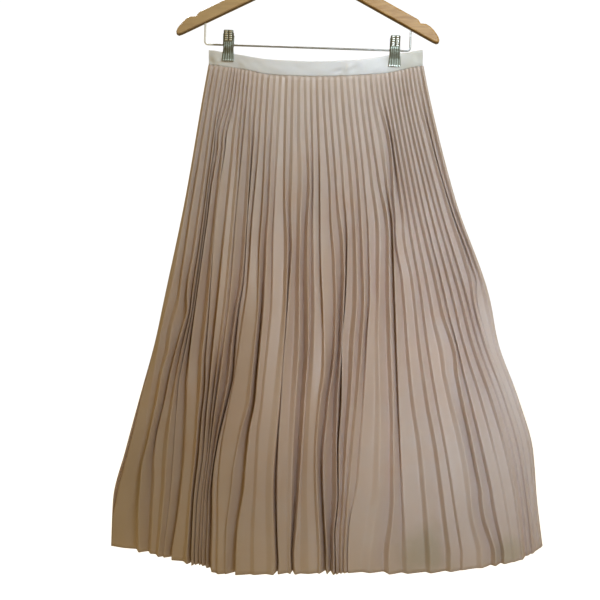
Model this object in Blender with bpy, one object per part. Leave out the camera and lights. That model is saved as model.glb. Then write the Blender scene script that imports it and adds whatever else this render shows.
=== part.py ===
"""A pleated maxi skirt clipped by its waistband to a wooden hanger with a steel clip bar.

Metres, +Z up, the front of the skirt faces -Y. The origin is the top of the hook's inner curve,
where the rail carries it. Sizes below are millimetres, and MM turns them into metres.
"""

import math

import bpy
import numpy as np

MM = 0.001

# How a position read on the front view becomes a size
UNIT = 1.7
ORIGIN_ACROSS = 312.0
ORIGIN_DOWN = -90.0
EYE_DOWN = 300.0
EYE_DISTANCE = 1600.0

# Cloth
CLOTH_WALL = 1.2
BAND_WALL = 2.0
SEAM_GAP = 0.3
PLEATS = 44
LEG_AT_WAIST = 6.1
LEG_AT_HEM = 25.6

# Pleat valleys of the front panel: height on the front view, then the place across
# of the left side seam, of every fourth valley, and of the right side seam.
PLEAT_COLUMNS = (0, 4, 8, 12, 16, 20, 24, 28, 32, 36, 40, 44)
PLEAT_ROWS = (
    (66, 207.5, 228.0, 240.8, 257.5, 280.0, 304.0, 327.0, 351.0, 373.5, 391.7, 407.5, 424.0),
    (90, 204.0, 224.5, 238.5, 255.5, 278.5, 303.5, 327.5, 352.5, 375.5, 394.5, 410.5, 428.0),
    (200, 185.0, 205.0, 226.5, 249.5, 274.5, 305.5, 335.0, 364.0, 391.5, 414.5, 436.5, 455.5),
    (300, 164.0, 187.5, 214.0, 242.5, 273.0, 306.0, 338.0, 368.0, 402.0, 438.0, 471.0, 490.0),
    (340, 155.5, 176.5, 205.5, 236.5, 268.0, 303.5, 336.0, 366.0, 404.0, 445.0, 481.0, 497.5),
    (400, 139.0, 158.0, 191.5, 226.0, 259.0, 299.0, 332.0, 361.0, 409.0, 458.0, 500.0, 519.0),
    (450, 125.5, 149.0, 186.5, 216.5, 252.0, 296.0, 330.5, 356.0, 415.0, 468.0, 513.0, 533.0),
    (500, 113.0, 138.0, 183.0, 207.0, 245.0, 294.0, 330.0, 351.0, 417.0, 471.0, 518.0, 537.0),
    (550, 111.0, 139.0, 185.0, 202.5, 237.0, 294.0, 331.0, 347.0, 418.0, 475.0, 523.0, 543.0),
)

# Hem of the front view: place across, height
HEM_ROWS = (
    (111, 546), (146, 551), (182, 559), (206, 566), (222, 571), (262, 572), (300, 571),
    (350, 571), (400, 573), (440, 571), (480, 566), (512, 560), (530, 554), (543, 546),
)

# Waistband: place across, top edge, seam, half the gap between front and back in mm
BAND_ROWS = (
    (208.8, 50.1, 65.0, 0.15),
    (215.0, 50.9, 65.7, 0.8),
    (221.5, 51.9, 66.6, 0.15),
    (235.0, 54.0, 68.3, 0.15),
    (250.0, 57.2, 71.4, 4.2),
    (267.0, 60.3, 75.3, 7.5),
    (290.0, 62.0, 77.0, 9.0),
    (316.0, 62.8, 77.9, 9.5),
    (345.0, 61.9, 77.0, 9.0),
    (366.0, 60.2, 75.7, 7.0),
    (378.0, 57.9, 74.5, 3.6),
    (387.5, 55.5, 73.2, 0.15),
    (402.5, 53.5, 70.0, 0.15),
    (408.5, 52.9, 68.6, 0.6),
    (412.5, 51.7, 67.8, 0.8),
    (422.5, 50.1, 66.0, 0.15),
)
BAND_STEPS = 30
BAND_COURSES = 2

# Sections down the pleated panels, as shares of the way from the waist seam to the hem
SECTIONS = (0.0, 0.018, 0.06, 0.13, 0.21, 0.29, 0.37, 0.45, 0.53, 0.61, 0.69, 0.77, 0.85, 0.93, 1.0)

# Half the hollow between front and back at mid width: share of the way down, mm
HOLLOW_ROWS = ((0.0, 9.5), (0.2, 13.0), (0.5, 17.0), (0.8, 21.0), (1.0, 24.0))
HOLLOW_SIDE_POWER = 2.6
# Folds fade out where the half hollow is thinner than this, and leave at least this share of it
FOLD_ROOM = 12.0
HOLLOW_KEPT = 0.35
# Share of the way down over which the cloth leaves the waistband's own gap
WAIST_FADE = 0.16
# Pleats are pressed shallower where the waistband holds them
HEAD_SQUASH = 0.55
HEAD_FADE = 0.05
# Least depth of a pleat, as a share of its leg, and where on that depth its height is read
LEAST_DEPTH = 0.3
READ_DEPTH = 0.7
WALL_ROUNDS = 12

# Large folds of the front panel: pleat number at the middle, half width in pleats,
# share down where it starts, share down where it is full, push outwards in mm
FOLD_ROWS = (
    (2.0, 1.8, 0.30, 0.85, 5.0),
    (4.6, 1.4, 0.15, 0.55, -6.0),
    (8.6, 2.2, 0.20, 0.75, 9.0),
    (12.2, 1.6, 0.12, 0.50, -9.0),
    (16.2, 2.4, 0.25, 0.80, 8.0),
    (20.4, 1.5, 0.30, 0.65, -8.0),
    (22.6, 1.3, 0.35, 0.70, 5.0),
    (24.6, 1.2, 0.35, 0.60, -9.0),
    (28.2, 2.2, 0.35, 0.75, 7.0),
    (33.0, 2.6, 0.45, 0.95, -3.0),
    (37.0, 2.4, 0.35, 0.85, 4.0),
)

# Hanger: tilt of the whole hanger about the hook, and the board
HANGER_TILT = 1.9
BOARD_EDGE = ((6.0, 2.4), (5.2, 0.8), (3.4, 0.0))
# Right half of the board's outline, from the middle of the underside round to the neck
BOARD_ROWS = (
    (0.0, -111.6), (7.0, -113.0), (16.0, -116.6), (60.0, -139.3), (120.0, -170.4), (205.0, -214.3),
    (213.5, -218.6), (219.0, -220.6), (222.6, -219.0), (223.4, -215.0), (221.6, -209.6),
    (217.8, -203.6), (213.0, -197.6), (207.4, -192.4), (199.6, -187.9), (190.6, -187.5),
    (186.4, -181.0), (120.0, -146.7), (60.0, -115.6), (30.0, -99.6), (19.0, -92.6), (11.0, -86.6),
    (5.0, -83.8),
)
NECK_TOP = -83.2

# Wire hook
HOOK_WIRE = 1.8
HOOK_INNER = 19.0
HOOK_FOOT = -97.0
HOOK_SHANK_TOP = -52.0
HOOK_ARC = (-55.0, 196.0)
HOOK_ARC_STEPS = 26
HOOK_BEND_STEPS = 7
HOOK_SIDES = 12
# Straight wire below the bend, and how hard the bend leaves along the shank and along the arc
HOOK_STRAIGHT = 8.0
HOOK_PULL = 9.0
# Drilled holes: gap round the wire, gap past its end, and how far the drill starts outside the wood
WIRE_HOLE_GAP = 0.3
WIRE_END_GAP = 1.6
BAR_DRILL_START = 30.0
HOOK_DRILL_START = 12.0
HOLE_SIDES = 12
# A wire's cut end is dressed: how far it reaches past the path, and how wide it is there, in radii
END_REACH = 0.45
END_WIDTH = 0.55

# Clip bar
BAR_WIRE = 1.65
BAR_HALF = 174.6
BAR_Z = -234.3
BAR_TOP = -189.0
BAR_BEND = 6.0
BAR_BEND_STEPS = 5
BAR_SIDES = 10

# Clips: where each sits along the bar, and a jaw's rows of height, half width, distance forward
CLIP_PLACES = (("left", -134.3), ("right", 148.6))
JAW_WALL = 1.0
JAW_ROWS = (
    (-208.8, 7.0, 9.1),
    (-210.4, 8.1, 8.8),
    (-224.0, 8.1, 5.6),
    (-227.5, 8.0, 4.75),
    (-233.0, 8.3, 4.45),
    (-239.0, 8.6, 4.2),
    (-246.0, 9.0, 3.3),
    (-250.0, 9.2, 2.98),
    (-259.5, 9.5, 2.98),
    (-263.0, 9.6, 3.7),
)
# Across a jaw: share of its half width, and how far its rolled edge turns back
JAW_COLUMNS = ((-1.0, 0.9), (-0.84, 0.0), (0.84, 0.0), (1.0, 0.9))
# Below this much under the bar the jaw grips cloth, and its edges turn back only this share
JAW_GRIP_BELOW = 12.0
JAW_GRIP_TURN = 0.4
# A jaw's inner face stays this far from the middle plane, clear of the waistband
JAW_CLEAR = 2.48
SPRING_OUTER = 3.6
SPRING_INNER = 2.0
SPRING_HALF = 6.0
SPRING_SIDES = 18

# Colour, roughness and metal share of each material
LOOKS = {
    "skirt": ((0.47, 0.36, 0.29), 0.45, 0.0),
    "waistband": ((0.62, 0.56, 0.50), 0.42, 0.0),
    "wood": ((0.45, 0.25, 0.09), 0.35, 0.0),
    "wire": ((0.55, 0.56, 0.55), 0.28, 1.0),
    "clip": ((0.20, 0.21, 0.18), 0.38, 1.0),
}


def smooth_through(xs, ys, at):
    """The values at `at` of a curve through the points (xs, ys) that never overshoots them."""
    xs = np.asarray(xs, float)
    ys = np.asarray(ys, float)
    step = np.diff(xs)
    slope = np.diff(ys) / step
    tangent = np.zeros(len(xs))
    for i in range(1, len(xs) - 1):
        if slope[i - 1] * slope[i] > 0.0:
            before = 2.0 * step[i] + step[i - 1]
            after = step[i] + 2.0 * step[i - 1]
            tangent[i] = (before + after) / (before / slope[i - 1] + after / slope[i])
    tangent[0] = slope[0]
    tangent[-1] = slope[-1]
    at = np.clip(np.asarray(at, float), xs[0], xs[-1])
    i = np.clip(np.searchsorted(xs, at, side="right") - 1, 0, len(step) - 1)
    t = (at - xs[i]) / step[i]
    return (
        (1.0 + 2.0 * t) * (1.0 - t) ** 2 * ys[i]
        + t * (1.0 - t) ** 2 * step[i] * tangent[i]
        + t * t * (3.0 - 2.0 * t) * ys[i + 1]
        + t * t * (t - 1.0) * step[i] * tangent[i + 1]
    )


def ease(value):
    value = np.clip(value, 0.0, 1.0)
    return value * value * (3.0 - 2.0 * value)


def across(place):
    return (np.asarray(place, float) - ORIGIN_ACROSS) * UNIT


def down(place, forward=0.0):
    """Height of a point seen at `place` on the front view, which stands `forward` of the middle plane."""
    nearer = (EYE_DISTANCE - forward) / EYE_DISTANCE
    return -((EYE_DOWN - ORIGIN_DOWN) + (np.asarray(place, float) - EYE_DOWN) * nearer) * UNIT


def tilted(points):
    """Points of the upright hanger, turned with it about the hook."""
    angle = math.radians(HANGER_TILT)
    x, y, z = np.asarray(points, float).T
    return np.stack(
        [x * math.cos(angle) + z * math.sin(angle), y, z * math.cos(angle) - x * math.sin(angle)],
        axis=1,
    )


def material(kind):
    found = bpy.data.materials.get(kind)
    if found:
        return found
    colour, roughness, metal = LOOKS[kind]
    made = bpy.data.materials.new(kind)
    made.use_nodes = True
    shader = made.node_tree.nodes["Principled BSDF"]
    shader.inputs["Base Color"].default_value = (*colour, 1.0)
    shader.inputs["Roughness"].default_value = roughness
    shader.inputs["Metallic"].default_value = metal
    return made


def solid(name, points, faces, kind, smooth=False):
    mesh = bpy.data.meshes.new(name)
    mesh.from_pydata([tuple(MM * v for v in p) for p in points], [], [tuple(f) for f in faces])
    mesh.validate()
    mesh.update()
    own = material(kind).copy()
    own.name = name + "_look"
    mesh.materials.append(own)
    if smooth:
        mesh.shade_smooth()
    made = bpy.data.objects.new(name, mesh)
    bpy.context.scene.collection.objects.link(made)
    return made


def grid_wall(outer, inner):
    """Points and triangles of the closed wall between two grids of the same size."""
    rows, columns = outer.shape[:2]
    points = np.concatenate([outer.reshape(-1, 3), inner.reshape(-1, 3)])
    shift = rows * columns
    faces = []

    def quad(a, b, c, d):
        faces.append((a, b, c))
        faces.append((a, c, d))

    for r in range(rows - 1):
        for c in range(columns - 1):
            a = r * columns + c
            b = a + 1
            e = a + columns
            f = e + 1
            quad(a, e, f, b)
            faces.append((shift + a, shift + f, shift + e))
            faces.append((shift + a, shift + b, shift + f))
    for c in range(columns - 1):
        low = (rows - 1) * columns + c
        quad(c, c + 1, shift + c + 1, shift + c)
        quad(low, shift + low, shift + low + 1, low + 1)
    for r in range(rows - 1):
        left = r * columns
        right = left + columns - 1
        quad(left, shift + left, shift + left + columns, left + columns)
        quad(right, right + columns, shift + right + columns, shift + right)
    return points, faces


def mirrored(points, faces):
    """The same wall turned round to face +Y."""
    points = np.array(points, float)
    points[:, 1] *= -1.0
    return points, [tuple(reversed(f)) for f in faces]


def pleat_places(numbers, heights, back):
    """Place across of each pleat number at its own height on the front view."""
    rows = np.array(PLEAT_ROWS, float)
    columns = rows[:, 1:]
    if back:
        columns = columns[:, :1] + columns[:, -1:] - columns[:, ::-1]
    places = np.empty(len(numbers))
    for i, (number, height) in enumerate(zip(numbers, heights)):
        at = [smooth_through(rows[:, 0], column, height) for column in columns.T]
        places[i] = smooth_through(PLEAT_COLUMNS, at, number)
    return places


def fold_push(numbers, share, back):
    total = np.zeros(len(numbers))
    for middle, half, start, full, push in FOLD_ROWS:
        if back:
            middle = PLEATS - middle
        amount = push * ease((share - start) / (full - start))
        total += amount * np.exp(-(((numbers - middle) / half) ** 2))
    return total


def half_hollow(numbers, share, heads, back):
    """Distance from the middle plane to the inner face of the cloth at each crease."""
    side = np.abs(2.0 * numbers / PLEATS - 1.0)
    middle = smooth_through(*np.transpose(HOLLOW_ROWS), share)
    below = middle * (1.0 - side**HOLLOW_SIDE_POWER)
    keep = np.minimum(1.0, below / FOLD_ROOM)
    below = below + keep * fold_push(numbers, share, back)
    floor = SEAM_GAP / 2.0 + HOLLOW_KEPT * middle * (1.0 - side**HOLLOW_SIDE_POWER)
    below = np.maximum(below, floor)
    blend = ease(share / WAIST_FADE)
    return heads * (1.0 - blend) + below * blend


def panel(name, back):
    """One pleated panel: a zigzag wall, each leg as long as the cut makes it at that height."""
    numbers = np.arange(2 * PLEATS + 1) / 2.0
    is_ridge = np.arange(2 * PLEATS + 1) % 2 == 1
    band = np.array(BAND_ROWS, float)
    hem = np.array(HEM_ROWS, float)
    top_places = pleat_places(numbers, np.full(len(numbers), PLEAT_ROWS[0][0]), back)
    hem_places = pleat_places(numbers, np.full(len(numbers), PLEAT_ROWS[-1][0]), back)
    seam_heights = smooth_through(band[:, 0], band[:, 2], top_places)
    hem_heights = smooth_through(hem[:, 0], hem[:, 1], hem_places)
    heads = smooth_through(band[:, 0], band[:, 3], top_places)
    outer = np.empty((len(SECTIONS), len(numbers), 3))
    inner = np.empty_like(outer)
    for r, share in enumerate(SECTIONS):
        heights = seam_heights + (hem_heights - seam_heights) * share
        x = across(pleat_places(numbers, heights, back))
        leg = LEG_AT_WAIST + (LEG_AT_HEM - LEG_AT_WAIST) * share
        run = np.gradient(x)
        depth = np.sqrt(np.maximum(leg**2 - run**2, (LEAST_DEPTH * leg) ** 2))
        depth *= HEAD_SQUASH + (1.0 - HEAD_SQUASH) * ease(share / HEAD_FADE)
        # The wall seen along Y thickens as its leg steepens, so the two are settled together
        rise = depth.copy()
        for _ in range(WALL_ROUNDS):
            wall = CLOTH_WALL * np.sqrt(1.0 + (rise / run) ** 2)
            rise = 0.5 * rise + 0.5 * np.maximum(depth - wall + CLOTH_WALL, LEAST_DEPTH * depth)
        hollow = half_hollow(numbers, share, heads, back)
        inner_y = hollow + np.where(is_ridge, rise, 0.0)
        forward = hollow + READ_DEPTH * (rise + wall)
        z = down(heights, forward * share)
        z -= SEAM_GAP * (1.0 - share)
        inner[r] = np.stack([x, -inner_y, z], axis=1)
        outer[r] = np.stack([x, -(inner_y + wall), z], axis=1)
    points, faces = grid_wall(outer, inner)
    if back:
        points, faces = mirrored(points, faces)
    return solid(name, points, faces, "skirt")


def waistband(name, back):
    band = np.array(BAND_ROWS, float)
    places = np.linspace(band[0, 0], band[-1, 0], BAND_STEPS + 1)
    places = np.unique(np.concatenate([places, band[:, 0]]))
    keep = np.concatenate([[True], np.diff(places) > 1.0])
    keep[-1] = True
    places = places[keep]
    top = smooth_through(band[:, 0], band[:, 1], places)
    seam = smooth_through(band[:, 0], band[:, 2], places)
    gap = smooth_through(band[:, 0], band[:, 3], places)
    outer = np.empty((BAND_COURSES + 1, len(places), 3))
    inner = np.empty_like(outer)
    for r in range(BAND_COURSES + 1):
        share = r / BAND_COURSES
        z = down(top + (seam - top) * share)
        inner[r] = np.stack([across(places), -gap, z], axis=1)
        outer[r] = np.stack([across(places), -(gap + BAND_WALL), z], axis=1)
    points, faces = grid_wall(outer, inner)
    if back:
        points, faces = mirrored(points, faces)
    return solid(name, points, faces, "waistband", smooth=False)


def tube(path, radius, sides, round_ends=True):
    """Points and faces of a round wire bent in the X-Z plane along `path`."""
    path = np.asarray(path, float)
    tangents = np.gradient(path, axis=0)
    tangents /= np.linalg.norm(tangents, axis=1)[:, None]
    rings = []
    radii = np.full(len(path), radius)
    centres = path
    if round_ends:
        first = path[0] - tangents[0] * radius * END_REACH
        last = path[-1] + tangents[-1] * radius * END_REACH
        centres = np.vstack([first, path, last])
        tangents = np.vstack([tangents[0], tangents, tangents[-1]])
        radii = np.concatenate([[radius * END_WIDTH], radii, [radius * END_WIDTH]])
    for centre, tangent, r in zip(centres, tangents, radii):
        side = np.array([tangent[1], -tangent[0]])
        for k in range(sides):
            angle = 2.0 * math.pi * k / sides
            x = centre[0] + side[0] * r * math.cos(angle)
            z = centre[1] + side[1] * r * math.cos(angle)
            rings.append((x, r * math.sin(angle), z))
    faces = []
    count = len(radii)
    for i in range(count - 1):
        for k in range(sides):
            a = i * sides + k
            b = i * sides + (k + 1) % sides
            faces.append((a, b, b + sides, a + sides))
    faces.append(tuple(reversed(range(sides))))
    faces.append(tuple(range((count - 1) * sides, count * sides)))
    return np.array(rings), faces


def outward(made):
    """Turns the faces of a solid outwards by the sign of its volume."""
    mesh = made.data
    mesh.calc_loop_triangles()
    volume = 0.0
    for triangle in mesh.loop_triangles:
        a, b, c = (mesh.vertices[i].co for i in triangle.vertices)
        volume += a.dot(b.cross(c))
    if volume < 0.0:
        mesh.flip_normals()
    return made


def inset_outline(outline, amount):
    """The closed outline moved inwards by `amount`, corner by corner."""
    before = np.roll(outline, 1, axis=0)
    after = np.roll(outline, -1, axis=0)
    ahead = after - outline
    behind = outline - before
    ahead /= np.linalg.norm(ahead, axis=1)[:, None]
    behind /= np.linalg.norm(behind, axis=1)[:, None]
    normal_a = np.stack([-ahead[:, 1], ahead[:, 0]], axis=1)
    normal_b = np.stack([-behind[:, 1], behind[:, 0]], axis=1)
    mitre = normal_a + normal_b
    mitre /= np.linalg.norm(mitre, axis=1)[:, None]
    reach = 1.0 / np.maximum(0.5, (mitre * normal_a).sum(axis=1))
    return outline + mitre * (amount * reach)[:, None]


def cut_with(target, cutter):
    cutter.hide_render = True
    cutter.display_type = "WIRE"
    cut = target.modifiers.new("hole", "BOOLEAN")
    cut.operation = "DIFFERENCE"
    cut.solver = "EXACT"
    cut.object = cutter


def hole(name, x, low, high, radius):
    points, faces = tube([(x, low), (x, high)], radius, HOLE_SIDES, round_ends=False)
    return outward(solid(name, tilted(points), faces, "wood"))


def board():
    right = np.array(BOARD_ROWS, float)
    left = right[::-1] * np.array([-1.0, 1.0])
    outline = np.vstack([right, [(0.0, NECK_TOP)], left[:-1]])
    layers = [(-y, inset) for y, inset in BOARD_EDGE] + [(y, inset) for y, inset in reversed(BOARD_EDGE)]
    points = []
    for y, inset in layers:
        for x, z in inset_outline(outline, inset):
            points.append((x, y, z))
    count = len(outline)
    faces = [tuple(range(count)), tuple(reversed(range((len(layers) - 1) * count, len(layers) * count)))]
    for layer in range(len(layers) - 1):
        for k in range(count):
            a = layer * count + k
            b = layer * count + (k + 1) % count
            faces.append((a, a + count, b + count, b))
    made = outward(solid("hanger_wood", tilted(points), faces, "wood"))
    hole_radius = BAR_WIRE + WIRE_HOLE_GAP
    for side, x in (("left", -BAR_HALF), ("right", BAR_HALF)):
        low = BAR_TOP - BAR_DRILL_START
        cut_with(made, hole("bar_hole_" + side, x, low, BAR_TOP + WIRE_END_GAP, hole_radius))
    low = HOOK_FOOT - WIRE_END_GAP
    high = NECK_TOP + HOOK_DRILL_START
    cut_with(made, hole("hook_hole", 0.0, low, high, HOOK_WIRE + WIRE_HOLE_GAP))
    return made


def hook():
    radius = HOOK_INNER + HOOK_WIRE
    centre_z = -HOOK_INNER
    start = math.radians(HOOK_ARC[0])
    end = math.radians(HOOK_ARC[1])
    arc = []
    for k in range(HOOK_ARC_STEPS + 1):
        angle = start + (end - start) * k / HOOK_ARC_STEPS
        arc.append((radius * math.cos(angle), centre_z + radius * math.sin(angle)))
    ends = (
        np.array([0.0, HOOK_SHANK_TOP]),
        np.array([0.0, HOOK_SHANK_TOP + HOOK_PULL]),
        np.array(arc[0]) - HOOK_PULL * np.array([-math.sin(start), math.cos(start)]),
        np.array(arc[0]),
    )
    bend = []
    for k in range(HOOK_BEND_STEPS):
        t = k / HOOK_BEND_STEPS
        bend.append(
            (1 - t) ** 3 * ends[0]
            + 3 * t * (1 - t) ** 2 * ends[1]
            + 3 * t * t * (1 - t) * ends[2]
            + t**3 * ends[3]
        )
    path = [(0.0, HOOK_FOOT), (0.0, HOOK_SHANK_TOP - HOOK_STRAIGHT)] + [tuple(p) for p in bend] + arc
    points, faces = tube(path, HOOK_WIRE, HOOK_SIDES)
    return outward(solid("hanger_hook", tilted(points), faces, "wire", smooth=True))


def bar():
    corner = []
    for k in range(BAR_BEND_STEPS + 1):
        angle = 0.5 * math.pi * k / BAR_BEND_STEPS
        corner.append((BAR_BEND * (1.0 - math.cos(angle)), BAR_BEND * (1.0 - math.sin(angle))))
    left = [(-BAR_HALF, BAR_TOP)] + [(-BAR_HALF + x, BAR_Z + z) for x, z in corner]
    right = [(-x, z) for x, z in reversed(left)]
    path = left + [(0.0, BAR_Z)] + right
    points, faces = tube(path, BAR_WIRE, BAR_SIDES, round_ends=False)
    return outward(solid("hanger_bar", tilted(points), faces, "wire", smooth=True))


def jaw(name, place, back):
    outer = np.empty((len(JAW_ROWS), len(JAW_COLUMNS), 3))
    inner = np.empty_like(outer)
    for r, (z, half, forward) in enumerate(JAW_ROWS):
        turn_share = JAW_GRIP_TURN if z < BAR_Z - JAW_GRIP_BELOW else 1.0
        for c, (share, turned) in enumerate(JAW_COLUMNS):
            x = place + half * share
            y = min(turned * turn_share - forward + JAW_WALL / 2.0, -JAW_CLEAR)
            inner[r, c] = (x, y, z)
            outer[r, c] = (x, y - JAW_WALL, z)
    points, faces = grid_wall(outer, inner)
    if back:
        points, faces = mirrored(points, faces)
    return solid(name, tilted(points), faces, "clip")


def spring(name, place):
    points = []
    for x in (place - SPRING_HALF, place + SPRING_HALF):
        for radius in (SPRING_OUTER, SPRING_INNER):
            for k in range(SPRING_SIDES):
                angle = 2.0 * math.pi * k / SPRING_SIDES
                points.append((x, radius * math.cos(angle), BAR_Z + radius * math.sin(angle)))
    n = SPRING_SIDES
    faces = []
    for k in range(n):
        m = (k + 1) % n
        faces.append((k, m, 2 * n + m, 2 * n + k))
        faces.append((n + m, n + k, 3 * n + k, 3 * n + m))
        faces.append((m, k, n + k, n + m))
        faces.append((2 * n + k, 2 * n + m, 3 * n + m, 3 * n + k))
    return outward(solid(name, tilted(points), faces, "clip", smooth=False))


def build():
    for old in list(bpy.data.objects):
        bpy.data.objects.remove(old, do_unlink=True)
    panel("skirt_front", back=False)
    panel("skirt_back", back=True)
    waistband("waistband_front", back=False)
    waistband("waistband_back", back=True)
    board()
    hook()
    bar()
    for side, place in CLIP_PLACES:
        jaw("clip_" + side + "_front_jaw", place, back=False)
        jaw("clip_" + side + "_back_jaw", place, back=True)
        spring("clip_" + side + "_spring", place)


build()
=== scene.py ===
import math

import bpy
import numpy as np
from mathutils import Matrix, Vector


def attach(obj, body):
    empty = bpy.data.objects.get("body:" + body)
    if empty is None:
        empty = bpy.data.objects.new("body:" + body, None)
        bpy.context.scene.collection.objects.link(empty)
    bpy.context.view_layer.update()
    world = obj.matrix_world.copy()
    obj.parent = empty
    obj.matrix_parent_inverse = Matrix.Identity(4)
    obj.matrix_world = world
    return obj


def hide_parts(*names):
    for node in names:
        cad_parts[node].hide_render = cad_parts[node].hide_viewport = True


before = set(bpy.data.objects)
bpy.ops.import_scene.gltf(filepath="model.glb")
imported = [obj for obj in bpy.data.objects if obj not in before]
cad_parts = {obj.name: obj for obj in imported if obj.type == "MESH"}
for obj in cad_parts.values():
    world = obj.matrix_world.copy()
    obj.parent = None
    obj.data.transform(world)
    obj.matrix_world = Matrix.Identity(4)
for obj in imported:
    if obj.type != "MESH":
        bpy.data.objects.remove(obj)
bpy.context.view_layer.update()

MM = 0.001

# How a position read on the front view becomes a size in mm
UNIT = 1.7
ORIGIN_ACROSS = 312.0
ORIGIN_DOWN = -90.0
EYE_DOWN = 300.0
EYE_DISTANCE = 1600.0
# The front view's width in its own units, and the camera's sensor in mm
VIEW_PIXELS = 600.0
SENSOR_WIDTH = 36.0

# Cloth: pleats of each panel, their legs in mm, rows of points down it
PLEATS = 44
LEG_AT_WAIST = 6.1
LEG_AT_HEM = 25.6
PANEL_ROWS = 116
# Shares of a leg at which it has points
LEG_STEPS = (0.0, 0.11, 0.5, 0.89)
# Thickness in mm
CLOTH_THICK = 0.45

# Valleys of the front pleats, by number from the left seam: the height on the front view, then the
# place across of each valley in PLEAT_COLUMNS
PLEAT_COLUMNS = (0, 1, 2, 3, 5, 7, 8, 12, 16, 20, 24, 28, 32, 36, 40, 44)
PLEAT_ROWS = (
    (66, 208.4, 213.3, 218.3, 223.4, 231.5, 237.6, 240.8, 257.5,
     280.0, 304.0, 327.0, 351.0, 373.5, 391.7, 407.5, 423.4),
    (90, 204.0, 209.1, 214.3, 219.4, 228.0, 235.0, 238.5, 255.5,
     278.5, 303.5, 327.5, 352.5, 375.5, 394.5, 410.5, 428.0),
    (200, 185.0, 191.5, 199.5, 206.0, 209.5, 221.5, 227.5, 249.5,
     274.5, 305.5, 335.0, 364.0, 391.5, 414.5, 436.5, 455.5),
    (300, 164.0, 176.0, 185.5, 191.5, 197.5, 212.5, 218.5, 242.5,
     273.0, 306.0, 338.0, 368.0, 402.0, 436.0, 465.0, 490.0),
    (340, 155.5, 167.0, 177.5, 183.0, 191.5, 210.0, 215.0, 236.5,
     268.0, 303.5, 336.0, 366.0, 404.5, 443.0, 475.0, 497.5),
    (400, 139.0, 152.5, 165.0, 172.0, 185.5, 205.5, 209.5, 226.0,
     259.0, 299.0, 332.0, 361.0, 410.0, 456.0, 496.0, 519.0),
    (450, 125.5, 143.5, 158.0, 166.5, 184.0, 201.5, 205.5, 217.5,
     253.5, 296.0, 330.5, 356.0, 417.0, 467.0, 510.0, 533.0),
    (500, 113.0, 139.0, 152.0, 161.5, 180.0, 196.0, 199.5, 213.0,
     250.5, 294.0, 330.0, 351.0, 421.0, 477.0, 519.0, 537.0),
    (550, 111.0, 137.0, 149.5, 157.5, 173.0, 193.5, 197.0, 211.0,
     249.0, 295.0, 331.0, 347.0, 424.0, 487.0, 524.0, 543.0),
)
# The hem: place across and height on the front view
HEM_ROWS = (
    (111, 546), (146, 551), (182, 559), (206, 566), (222, 571), (262, 572), (300, 571),
    (350, 571), (400, 573), (440, 571), (480, 566), (512, 560), (530, 554), (543, 546),
)
# Waistband: place across, top edge, seam, half the gap between front and back in mm
BAND_ROWS = (
    (208.8, 50.1, 65.0, 0.15),
    (215.0, 50.9, 65.7, 0.8),
    (221.5, 51.9, 66.6, 0.15),
    (235.0, 54.0, 68.3, 0.15),
    (250.0, 57.2, 71.4, 4.2),
    (267.0, 60.3, 75.3, 7.5),
    (290.0, 62.0, 77.0, 9.0),
    (316.0, 62.8, 77.9, 9.5),
    (345.0, 61.9, 77.0, 9.0),
    (366.0, 60.2, 75.7, 7.0),
    (378.0, 57.9, 74.5, 3.6),
    (387.5, 55.5, 73.2, 0.15),
    (402.5, 53.5, 70.0, 0.15),
    (408.5, 52.9, 68.6, 0.6),
    (412.5, 51.7, 67.8, 0.8),
    (422.5, 50.1, 66.0, 0.15),
)
BAND_WALL = 2.0
# Half the depth in mm of the space between the panels, at shares of their length. It narrows to the
# side seams by a power, takes over from the band's gap by WAIST_FADE, and folds leave a least share
HOLLOW_ROWS = ((0.0, 9.5), (0.2, 13.0), (0.5, 17.0), (0.8, 21.0), (1.0, 24.0))
HOLLOW_SIDE_POWER = 2.6
WAIST_FADE = 0.16
LEAST_HOLLOW = 0.35
# Broad folds: middle and half width in pleat numbers, shares of the length where each starts and is
# full, and how far in mm it stands forward where the hollow is at least FOLD_ROOM deep
FOLD_ROOM = 12.0
FOLD_ROWS = (
    (2.0, 1.8, 0.30, 0.85, 5.0),
    (4.6, 1.4, 0.15, 0.55, -6.0),
    (8.6, 2.2, 0.20, 0.75, 9.0),
    (12.2, 1.6, 0.12, 0.50, -9.0),
    (16.2, 2.4, 0.25, 0.80, 8.0),
    (20.4, 1.5, 0.30, 0.65, -8.0),
    (22.6, 1.3, 0.35, 0.70, 5.0),
    (24.6, 1.2, 0.35, 0.60, -9.0),
    (28.2, 2.2, 0.35, 0.75, 7.0),
    (33.0, 2.6, 0.45, 0.95, -3.0),
    (37.0, 2.4, 0.35, 0.85, 4.0),
)

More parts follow.
